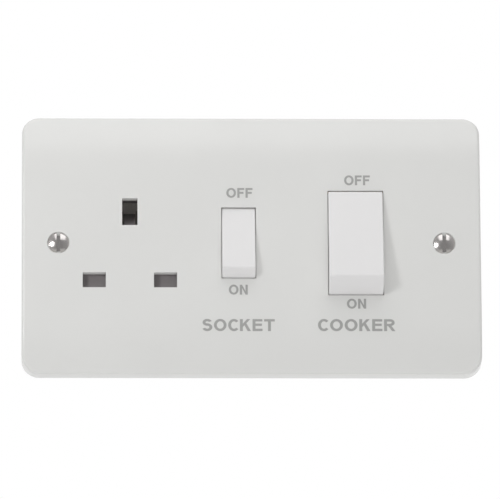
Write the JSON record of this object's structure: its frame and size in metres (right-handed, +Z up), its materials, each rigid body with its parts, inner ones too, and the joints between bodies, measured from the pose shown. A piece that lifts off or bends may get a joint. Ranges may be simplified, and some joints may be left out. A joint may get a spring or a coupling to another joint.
{
  "type": "cooker control unit",
  "caption": "White moulded double wall plate with a shuttered three-pin socket, its rocker switch and a large double-pole cooker rocker switch, terminals behind.",
  "frame": {"origin": "middle of the plate's back rim, in the wall plane, between the two fixing screws", "axes": "+X along the plate to the right seen from the front, +Y into the wall, +Z up"},
  "size_m": [0.1436, 0.0396, 0.0834],
  "materials": {
    "plate_plastic": "white moulded urea, glossy",
    "rocker_plastic": "white moulded thermoplastic, satin gloss",
    "housing_plastic": "off-white moulded plastic, matt",
    "shutter_plastic": "grey moulded nylon",
    "plunger_nylon": "natural nylon",
    "nickel_plate": "nickel plated steel",
    "zinc_steel": "zinc plated steel",
    "spring_steel": "drawn spring wire",
    "terminal_brass": "cut and drilled brass",
    "copper_strip": "pressed copper alloy strip",
    "tinned_strip": "pressed strip, dull tin plate",
    "contact_silver": "silver contact tips"
  },
  "bodies": {
    "plate": {"clamp_screws": "terminal_brass", "earth_contact": "tinned_strip", "earth_terminal": "terminal_brass", "fixed_tips": "contact_silver", "fixing_screws": "nickel_plate", "front_plate": "plate_plastic", "housing_screws": "zinc_steel", "line_contact": "tinned_strip", "line_load_strip": "copper_strip", "line_supply_strip": "copper_strip", "load_line_terminal": "terminal_brass", "load_neutral_terminal": "terminal_brass", "neutral_contact": "tinned_strip", "neutral_link": "copper_strip", "neutral_load_strip": "copper_strip", "neutral_supply_strip": "copper_strip", "rear_housing": "housing_plastic", "shutter_cover": "shutter_plastic", "shutter_spring": "spring_steel", "supply_line_terminal": "terminal_brass", "supply_neutral_terminal": "terminal_brass"},
    "cooker_rocker": {"cooker_rocker": "rocker_plastic", "cooker_line_spring": "spring_steel", "cooker_neutral_spring": "spring_steel"},
    "socket_rocker": {"socket_rocker": "rocker_plastic", "socket_spring": "spring_steel"},
    "shutter": {"shutter": "shutter_plastic"},
    "cooker_line_plunger": {"cooker_line_plunger": "plunger_nylon"},
    "cooker_line_blade": {"cooker_line_blade": "copper_strip", "cooker_line_tip": "contact_silver"},
    "cooker_neutral_plunger": {"cooker_neutral_plunger": "plunger_nylon"},
    "cooker_neutral_blade": {"cooker_neutral_blade": "copper_strip", "cooker_neutral_tip": "contact_silver"},
    "socket_plunger": {"socket_plunger": "plunger_nylon"},
    "socket_blade": {"socket_blade": "copper_strip", "socket_tip": "contact_silver"}
  },
  "joints": [
    {"name": "cooker_switch", "type": "hinge", "parent": "plate", "child": "cooker_rocker", "pos_m": [0.0326, -0.0031, 0], "axis": [1, 0, 0], "range_deg": [0, 24]},
    {"name": "socket_switch", "type": "hinge", "parent": "plate", "child": "socket_rocker", "pos_m": [-0.004, -0.004, 0], "axis": [1, 0, 0], "range_deg": [0, 24]},
    {"name": "cooker_line_rock", "type": "hinge", "parent": "plate", "child": "cooker_line_blade", "pos_m": [0.0287, 0.01, 0], "axis": [1, 0, 0], "range_deg": [-18.1, 0]},
    {"name": "cooker_neutral_rock", "type": "hinge", "parent": "plate", "child": "cooker_neutral_blade", "pos_m": [0.0365, 0.01, 0], "axis": [1, 0, 0], "range_deg": [-18.1, 0]},
    {"name": "socket_rock", "type": "hinge", "parent": "plate", "child": "socket_blade", "pos_m": [-0.004, 0.01, 0], "axis": [1, 0, 0], "range_deg": [-18.1, 0]},
    {"name": "cooker_line_press", "type": "slide", "parent": "cooker_rocker", "child": "cooker_line_plunger", "axis": [0, -0.9781, 0.2079], "range_m": [0, 0.0015], "stiffness_N_per_m": 800, "deforming": ["cooker_line_spring"]},
    {"name": "cooker_neutral_press", "type": "slide", "parent": "cooker_rocker", "child": "cooker_neutral_plunger", "axis": [0, -0.9781, 0.2079], "range_m": [0, 0.0015], "stiffness_N_per_m": 800, "deforming": ["cooker_neutral_spring"]},
    {"name": "socket_press", "type": "slide", "parent": "socket_rocker", "child": "socket_plunger", "axis": [0, -0.9781, 0.2079], "range_m": [0, 0.0015], "stiffness_N_per_m": 800, "deforming": ["socket_spring"]},
    {"name": "shutter_slide", "type": "slide", "parent": "plate", "child": "shutter", "axis": [0, 0, -1], "range_m": [0, 0.0062], "stiffness_N_per_m": 150, "deforming": ["shutter_spring"]}
  ],
  "couplings": [
    {"joint": "cooker_line_rock", "follows": "cooker_switch", "ratio": -0.75},
    {"joint": "cooker_neutral_rock", "follows": "cooker_switch", "ratio": -0.75},
    {"joint": "socket_rock", "follows": "socket_switch", "ratio": -0.75}
  ]
}
